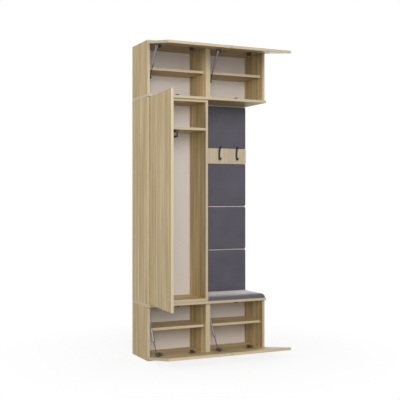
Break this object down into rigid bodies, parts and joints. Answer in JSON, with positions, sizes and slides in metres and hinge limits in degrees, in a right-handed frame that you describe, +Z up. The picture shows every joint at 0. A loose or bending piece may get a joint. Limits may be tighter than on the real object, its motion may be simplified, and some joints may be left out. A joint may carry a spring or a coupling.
{
  "type": "hallway wardrobe",
  "caption": "Tall hallway wardrobe: a hinged door and an open seat niche with coat hooks between an upper cabinet with lift-up flaps and a bench cabinet with drop-down flaps.",
  "frame": {"origin": "on the floor under the middle of the carcass, the underside of the bench's bottom board", "axes": "+Z up, -Y out of the front, +X to the right seen from the front"},
  "size_m": [0.9424, 0.7609, 2.224],
  "materials": {
    "oak_laminate": "satin oak-grain laminate",
    "white_board": "white painted hardboard",
    "grey_fabric": "woven grey cloth",
    "black_metal": "satin black powder coat",
    "plated_steel": "dull nickel plating",
    "strut_silver": "satin",
    "black_plastic": "fine matt"
  },
  "bodies": {
    "carcass": {"upper_left_side": "oak_laminate", "upper_right_side": "oak_laminate", "upper_top_board": "oak_laminate", "upper_bottom_plate": "oak_laminate", "bench_left_side": "oak_laminate", "bench_right_side": "oak_laminate", "bench_top_plate": "oak_laminate", "bench_bottom_board": "oak_laminate", "centre_partitions": "oak_laminate", "bay_backs": "white_board", "bay_shelves": "oak_laminate", "shelf_pins": "plated_steel", "wardrobe_left_side": "oak_laminate", "wardrobe_right_side": "oak_laminate", "wardrobe_top_board": "oak_laminate", "wardrobe_bottom_board": "oak_laminate", "hat_shelf": "oak_laminate", "wardrobe_back": "white_board", "hinge_arms": "plated_steel", "strut_anchors": "plated_steel", "latch_housings": "black_plastic", "hanging_rail": "plated_steel", "niche_backing_board": "oak_laminate", "hook_board": "oak_laminate", "soft_panel_1": "grey_fabric", "soft_panel_2": "grey_fabric", "soft_panel_3": "grey_fabric", "soft_panel_4": "grey_fabric", "coat_hooks": "black_metal", "seat_cushion": "grey_fabric", "wall_brackets": "plated_steel"},
    "door": {"door_panel": "oak_laminate", "door_hinge_cups": "plated_steel"},
    "door_links": {"door_hinge_links": "plated_steel"},
    "upper_left_flap": {"upper_left_flap": "oak_laminate", "upper_left_flap_fittings": "plated_steel"},
    "upper_left_flap_links": {"upper_left_flap_links": "plated_steel"},
    "upper_left_strut_tube": {"upper_left_strut_tube": "strut_silver"},
    "upper_left_strut_rod": {"upper_left_strut_rod": "black_metal"},
    "upper_left_plunger": {"upper_left_plunger": "black_plastic"},
    "lower_left_flap": {"lower_left_flap": "oak_laminate", "lower_left_flap_fittings": "plated_steel"},
    "lower_left_flap_links": {"lower_left_flap_links": "plated_steel"},
    "lower_left_strut_tube": {"lower_left_strut_tube": "strut_silver"},
    "lower_left_strut_rod": {"lower_left_strut_rod": "black_metal"},
    "lower_left_plunger": {"lower_left_plunger": "black_plastic"},
    "upper_right_flap": {"upper_right_flap": "oak_laminate", "upper_right_flap_fittings": "plated_steel"},
    "upper_right_flap_links": {"upper_right_flap_links": "plated_steel"},
    "upper_right_strut_tube": {"upper_right_strut_tube": "strut_silver"},
    "upper_right_strut_rod": {"upper_right_strut_rod": "black_metal"},
    "upper_right_plunger": {"upper_right_plunger": "black_plastic"},
    "lower_right_flap": {"lower_right_flap": "oak_laminate", "lower_right_flap_fittings": "plated_steel"},
    "lower_right_flap_links": {"lower_right_flap_links": "plated_steel"},
    "lower_right_strut_tube": {"lower_right_strut_tube": "strut_silver"},
    "lower_right_strut_rod": {"lower_right_strut_rod": "black_metal"},
    "lower_right_plunger": {"lower_right_plunger": "black_plastic"},
    "hanging_rod": {"hanging_rod": "plated_steel"}
  },
  "joints": [
    {"name": "door_hinge", "type": "hinge", "parent": "carcass", "child": "door", "pos_m": [-0.448, -0.1675, 1.1], "axis": [0, 0, 1], "range_deg": [0, 94.3]},
    {"name": "door_link_pivot", "type": "hinge", "parent": "carcass", "child": "door_links", "pos_m": [-0.423, -0.1427, 1.1], "axis": [0, 0, 1], "range_deg": [-24.6, 0]},
    {"name": "upper_left_flap_hinge", "type": "hinge", "parent": "carcass", "child": "upper_left_flap", "pos_m": [-0.23, -0.1675, 2.188], "axis": [1, 0, 0], "range_deg": [0, 81]},
    {"name": "upper_left_link_pivot", "type": "hinge", "parent": "carcass", "child": "upper_left_flap_links", "pos_m": [-0.23, -0.1427, 2.164], "axis": [1, 0, 0], "range_deg": [-15.4, 0]},
    {"name": "upper_left_strut_pivot", "type": "hinge", "parent": "upper_left_flap", "child": "upper_left_strut_tube", "pos_m": [-0.43, -0.24396, 2.144], "axis": [1, 0, 0], "range_deg": [-107.1, 0]},
    {"name": "upper_left_strut_slide", "type": "slide", "parent": "upper_left_strut_tube", "child": "upper_left_strut_rod", "axis": [0, -0.5283, 0.849], "range_m": [0, 0.07317]},
    {"name": "upper_left_latch_press", "type": "slide", "parent": "carcass", "child": "upper_left_plunger", "axis": [0, 1, 0], "range_m": [0, 0.0035], "stiffness_N_per_m": 700},
    {"name": "lower_left_flap_hinge", "type": "hinge", "parent": "carcass", "child": "lower_left_flap", "pos_m": [-0.23, -0.1675, 0.012], "axis": [-1, 0, 0], "range_deg": [0, 81]},
    {"name": "lower_left_link_pivot", "type": "hinge", "parent": "carcass", "child": "lower_left_flap_links", "pos_m": [-0.23, -0.1427, 0.036], "axis": [-1, 0, 0], "range_deg": [-15.4, 0]},
    {"name": "lower_left_strut_pivot", "type": "hinge", "parent": "lower_left_flap", "child": "lower_left_strut_rod", "pos_m": [-0.43, -0.24396, 0.056], "axis": [-1, 0, 0], "range_deg": [-107.1, 0]},
    {"name": "lower_left_strut_slide", "type": "slide", "parent": "lower_left_strut_rod", "child": "lower_left_strut_tube", "axis": [0, -0.5283, -0.849], "range_m": [0, 0.07317]},
    {"name": "lower_left_latch_press", "type": "slide", "parent": "carcass", "child": "lower_left_plunger", "axis": [0, 1, 0], "range_m": [0, 0.0035], "stiffness_N_per_m": 700},
    {"name": "upper_right_flap_hinge", "type": "hinge", "parent": "carcass", "child": "upper_right_flap", "pos_m": [0.23, -0.1675, 2.188], "axis": [1, 0, 0], "range_deg": [0, 81]},
    {"name": "upper_right_link_pivot", "type": "hinge", "parent": "carcass", "child": "upper_right_flap_links", "pos_m": [0.23, -0.1427, 2.164], "axis": [1, 0, 0], "range_deg": [-15.4, 0]},
    {"name": "upper_right_strut_pivot", "type": "hinge", "parent": "upper_right_flap", "child": "upper_right_strut_tube", "pos_m": [0.03, -0.24396, 2.144], "axis": [1, 0, 0], "range_deg": [-107.1, 0]},
    {"name": "upper_right_strut_slide", "type": "slide", "parent": "upper_right_strut_tube", "child": "upper_right_strut_rod", "axis": [0, -0.5283, 0.849], "range_m": [0, 0.07317]},
    {"name": "upper_right_latch_press", "type": "slide", "parent": "carcass", "child": "upper_right_plunger", "axis": [0, 1, 0], "range_m": [0, 0.0035], "stiffness_N_per_m": 700},
    {"name": "lower_right_flap_hinge", "type": "hinge", "parent": "carcass", "child": "lower_right_flap", "pos_m": [0.23, -0.1675, 0.012], "axis": [-1, 0, 0], "range_deg": [0, 81]},
    {"name": "lower_right_link_pivot", "type": "hinge", "parent": "carcass", "child": "lower_right_flap_links", "pos_m": [0.23, -0.1427, 0.036], "axis": [-1, 0, 0], "range_deg": [-15.4, 0]},
    {"name": "lower_right_strut_pivot", "type": "hinge", "parent": "lower_right_flap", "child": "lower_right_strut_rod", "pos_m": [0.03, -0.24396, 0.056], "axis": [-1, 0, 0], "range_deg": [-107.1, 0]},
    {"name": "lower_right_strut_slide", "type": "slide", "parent": "lower_right_strut_rod", "child": "lower_right_strut_tube", "axis": [0, -0.5283, -0.849], "range_m": [0, 0.07317]},
    {"name": "lower_right_latch_press", "type": "slide", "parent": "carcass", "child": "lower_right_plunger", "axis": [0, 1, 0], "range_m": [0, 0.0035], "stiffness_N_per_m": 700},
    {"name": "hanging_rod_slide", "type": "slide", "parent": "carcass", "child": "hanging_rod", "axis": [0, 1, 0], "range_m": [-0.2, 0]}
  ],
  "couplings": [
    {"joint": "door_link_pivot", "follows": "door_hinge", "ratio": -0.26},
    {"joint": "upper_left_link_pivot", "follows": "upper_left_flap_hinge", "ratio": -0.19},
    {"joint": "upper_left_strut_pivot", "follows": "upper_left_flap_hinge", "ratio": -1.3218},
    {"joint": "upper_left_strut_slide", "follows": "upper_left_flap_hinge", "m_per_rad": 0.051722},
    {"joint": "lower_left_link_pivot", "follows": "lower_left_flap_hinge", "ratio": -0.19},
    {"joint": "lower_left_strut_pivot", "follows": "lower_left_flap_hinge", "ratio": -1.3218},
    {"joint": "lower_left_strut_slide", "follows": "lower_left_flap_hinge", "m_per_rad": 0.051722},
    {"joint": "upper_right_link_pivot", "follows": "upper_right_flap_hinge", "ratio": -0.19},
    {"joint": "upper_right_strut_pivot", "follows": "upper_right_flap_hinge", "ratio": -1.3218},
    {"joint": "upper_right_strut_slide", "follows": "upper_right_flap_hinge", "m_per_rad": 0.051722},
    {"joint": "lower_right_link_pivot", "follows": "lower_right_flap_hinge", "ratio": -0.19},
    {"joint": "lower_right_strut_pivot", "follows": "lower_right_flap_hinge", "ratio": -1.3218},
    {"joint": "lower_right_strut_slide", "follows": "lower_right_flap_hinge", "m_per_rad": 0.051722}
  ]
}
